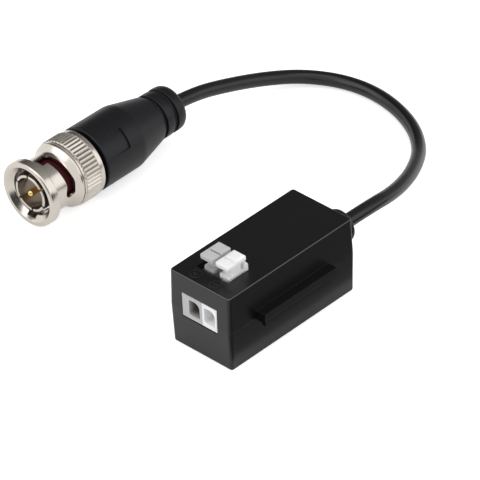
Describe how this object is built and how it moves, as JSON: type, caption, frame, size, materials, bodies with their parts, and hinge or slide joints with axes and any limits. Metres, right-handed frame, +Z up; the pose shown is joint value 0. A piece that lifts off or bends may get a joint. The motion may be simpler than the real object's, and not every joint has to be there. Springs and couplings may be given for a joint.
{
  "type": "video balun",
  "caption": "Passive video balun: black snap case, push levers over the wire entries at the front, short coaxial lead at the rear with a bayonet plug",
  "frame": {"origin": "centre of the underside of the case, on the surface that it stands on", "axes": "+Z is up; -Y is the front, where the wires enter; +Y is along the case to the cable gland; +X is the side with the hook rail, and the lead comes back along the -X side"},
  "size_m": [0.0727, 0.0864, 0.0209],
  "materials": {
    "case_black": "fine matte ABS",
    "board_green": "solder mask over glass laminate",
    "terminal_grey": "satin polyamide",
    "terminal_white": "satin polyamide",
    "lever_grey": "satin polyamide",
    "lever_white": "satin polyamide",
    "spring_steel": "satin spring steel",
    "tinned_copper": "tin plated",
    "ferrite": "sintered ferrite, matt",
    "enamelled_copper": "enamelled",
    "bare_copper": "bare copper",
    "ceramic_tan": "ceramic",
    "ceramic_black": "ceramic with glass cover",
    "boot_black": "satin flexible PVC",
    "jacket_black": "slightly glossy PVC",
    "dielectric_white": "polyethylene and PTFE",
    "nickel": "nickel plated, polished",
    "gold": "gold plated",
    "gasket_red": "silicone, satin"
  },
  "bodies": {
    "case": {"lower_shell": "case_black", "upper_shell": "case_black", "circuit_board": "board_green", "terminal_body_grey": "terminal_grey", "terminal_body_white": "terminal_white", "clamp_spring_grey": "spring_steel", "clamp_spring_white": "spring_steel", "contact_bar_grey": "tinned_copper", "contact_bar_white": "tinned_copper", "balun_core": "ferrite", "balun_winding": "enamelled_copper", "chip_capacitors": "ceramic_tan", "chip_resistors": "ceramic_black", "surge_suppressor": "case_black", "suppressor_leads": "tinned_copper", "cable_gland": "boot_black", "jacket_in_gland": "jacket_black", "core_wire": "bare_copper", "braid_tail": "bare_copper", "signal_cable": "jacket_black", "plug_boot": "boot_black", "jacket_in_boot": "jacket_black", "cable_core_in_plug": "dielectric_white", "crimp_ferrule": "nickel", "connector_shell": "nickel", "plug_insulator": "dielectric_white", "centre_pin": "gold", "plug_gasket": "gasket_red", "wave_spring": "spring_steel"},
    "lever_grey_body": {"lever_grey": "lever_grey"},
    "lever_white_body": {"lever_white": "lever_white"},
    "nut_carrier": {"snap_ring": "spring_steel"},
    "nut": {"coupling_nut": "nickel"}
  },
  "joints": [
    {"name": "lever_grey_press", "type": "hinge", "parent": "case", "child": "lever_grey_body", "pos_m": [-0.00142, -0.0078, 0.0159], "axis": [1, 0, 0], "range_deg": [0, 10], "stiffness_Nm_per_rad": 0.05, "springref_deg": -5.73, "deforming": ["clamp_spring_grey"]},
    {"name": "lever_white_press", "type": "hinge", "parent": "case", "child": "lever_white_body", "pos_m": [0.00254, -0.0078, 0.0159], "axis": [1, 0, 0], "range_deg": [0, 10], "stiffness_Nm_per_rad": 0.05, "springref_deg": -5.73, "deforming": ["clamp_spring_white"]},
    {"name": "nut_push", "type": "slide", "parent": "case", "child": "nut_carrier", "axis": [0, -1, 0], "range_m": [0, 0.0009], "stiffness_N_per_m": 5000, "springref_m": -0.0003, "deforming": ["wave_spring"]},
    {"name": "nut_spin", "type": "hinge", "parent": "nut_carrier", "child": "nut", "pos_m": [-0.0554, 0, 0.00725], "axis": [0, 1, 0], "continuous": true}
  ]
}
